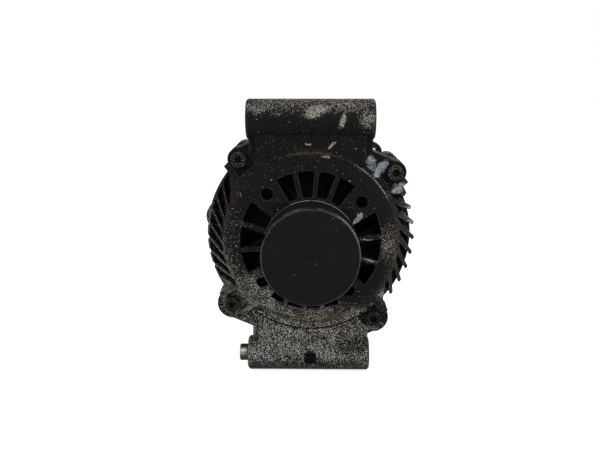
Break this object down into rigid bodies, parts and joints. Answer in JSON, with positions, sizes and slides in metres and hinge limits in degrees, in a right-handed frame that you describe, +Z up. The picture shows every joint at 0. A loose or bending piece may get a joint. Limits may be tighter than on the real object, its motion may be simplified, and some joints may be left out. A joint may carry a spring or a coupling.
{
  "type": "alternator",
  "caption": "Alternator with cast end brackets, two crosswise mounting barrels, louvred vents, capped overrunning pulley, claw-pole rotor and rear rectifier cover.",
  "frame": {"origin": "middle of the lower mounting bore, halfway along the front bracket's depth there", "axes": "+X to the right as seen from the pulley, along both mounting bores; +Y along the shaft away from the pulley; +Z up, from the lower bore to the upper one"},
  "size_m": [0.1428, 0.1777, 0.1866],
  "materials": {
    "front_casting": "sand-rough casting under oily black dirt",
    "rear_casting": "sand-rough casting, dirty",
    "bolt_steel": "black phosphated, grimy",
    "bush_steel": "ground, worn bright",
    "lamination_steel": "stacked sheet edge, light rust",
    "winding_copper": "enamelled copper wire, dark varnish",
    "field_copper": "enamelled copper wire",
    "ring_copper": "polished by the brushes",
    "diode_copper": "nickelled copper",
    "pin_brass": "tinned",
    "bearing_steel": "ground bearing steel",
    "cage_plastic": "moulded polyamide",
    "seal_rubber": "moulded seal",
    "plate_steel": "zinc plated",
    "screw_steel": "zinc plated",
    "sleeve_plastic": "moulded polyamide",
    "shaft_steel": "ground",
    "pole_iron": "forged, painted thinly",
    "bobbin_plastic": "moulded polyamide",
    "fan_steel": "pressed sheet",
    "pulley_steel": "turned, bright at the rim",
    "cap_plastic": "smooth moulding, dusty",
    "sink_aluminium": "pressed plate",
    "board_plastic": "moulded thermoset",
    "stud_steel": "plated",
    "brush_carbon": "carbon and copper powder",
    "spring_steel": "plain wire",
    "cover_plastic": "moulded polyamide, dusty"
  },
  "bodies": {
    "housing": {"front_bracket": "front_casting", "rear_bracket": "rear_casting", "through_bolts": "bolt_steel", "stator_core": "lamination_steel", "stator_winding": "winding_copper", "phase_leads": "winding_copper", "front_bearing_outer_race": "bearing_steel", "front_bearing_seals": "seal_rubber", "bearing_retainer": "plate_steel", "retainer_screws": "screw_steel", "rear_bearing_sleeve": "sleeve_plastic", "rear_bearing_outer_race": "bearing_steel", "rear_bearing_seals": "seal_rubber", "negative_heat_sink": "sink_aluminium", "positive_heat_sink": "sink_aluminium", "terminal_board": "board_plastic", "negative_diodes": "diode_copper", "positive_diodes": "diode_copper", "rectifier_studs": "screw_steel", "insulating_spacers": "board_plastic", "rectifier_nuts": "screw_steel", "cover_nuts": "screw_steel", "output_stud": "stud_steel", "stud_insulator": "board_plastic", "output_nut": "screw_steel", "brush_holder": "board_plastic", "inner_brush_spring": "spring_steel", "outer_brush_spring": "spring_steel", "regulator": "board_plastic", "socket_pins": "pin_brass", "rear_cover": "cover_plastic"},
    "rotor": {"rotor_shaft": "shaft_steel", "shaft_spacer": "shaft_steel", "front_claw_pole": "pole_iron", "rear_claw_pole": "pole_iron", "coil_bobbin": "bobbin_plastic", "field_coil": "field_copper", "front_fan": "fan_steel", "rear_fan": "fan_steel", "slip_ring_sleeve": "sleeve_plastic", "slip_rings": "ring_copper", "front_bearing_inner_race": "bearing_steel", "rear_bearing_inner_race": "bearing_steel", "pulley_hub": "pulley_steel", "clutch_rollers": "bearing_steel", "clutch_cage": "cage_plastic"},
    "pulley": {"pulley_ring": "pulley_steel", "pulley_end_bearings": "bearing_steel", "clutch_shell": "bearing_steel", "pulley_cap": "cap_plastic"},
    "bush": {"mounting_bush": "bush_steel"},
    "front_balls": {"front_bearing_balls": "bearing_steel", "front_bearing_cage": "cage_plastic"},
    "rear_balls": {"rear_bearing_balls": "bearing_steel", "rear_bearing_cage": "cage_plastic"},
    "inner_carbon": {"inner_brush": "brush_carbon"},
    "outer_carbon": {"outer_brush": "brush_carbon"}
  },
  "joints": [
    {"name": "rotor_spin", "type": "hinge", "parent": "housing", "child": "rotor", "pos_m": [0, 0, 0.083], "axis": [0, 1, 0], "continuous": true},
    {"name": "pulley_overrun", "type": "hinge", "parent": "rotor", "child": "pulley", "pos_m": [0, 0, 0.083], "axis": [0, 1, 0], "continuous": true},
    {"name": "front_balls_roll", "type": "hinge", "parent": "housing", "child": "front_balls", "pos_m": [0, 0, 0.083], "axis": [0, 1, 0], "continuous": true},
    {"name": "rear_balls_roll", "type": "hinge", "parent": "housing", "child": "rear_balls", "pos_m": [0, 0, 0.083], "axis": [0, 1, 0], "continuous": true},
    {"name": "bush_slide", "type": "slide", "parent": "housing", "child": "bush", "axis": [1, 0, 0], "range_m": [0, 0.006]},
    {"name": "inner_brush_slide", "type": "slide", "parent": "housing", "child": "inner_carbon", "axis": [0, 0, 1], "range_m": [0, 0.003], "stiffness_N_per_m": 250, "springref_m": -0.008, "deforming": ["inner_brush_spring"]},
    {"name": "outer_brush_slide", "type": "slide", "parent": "housing", "child": "outer_carbon", "axis": [0, 0, 1], "range_m": [0, 0.003], "stiffness_N_per_m": 250, "springref_m": -0.008, "deforming": ["outer_brush_spring"]}
  ],
  "couplings": [
    {"joint": "front_balls_roll", "follows": "rotor_spin", "ratio": 0.3656},
    {"joint": "rear_balls_roll", "follows": "rotor_spin", "ratio": 0.38}
  ]
}
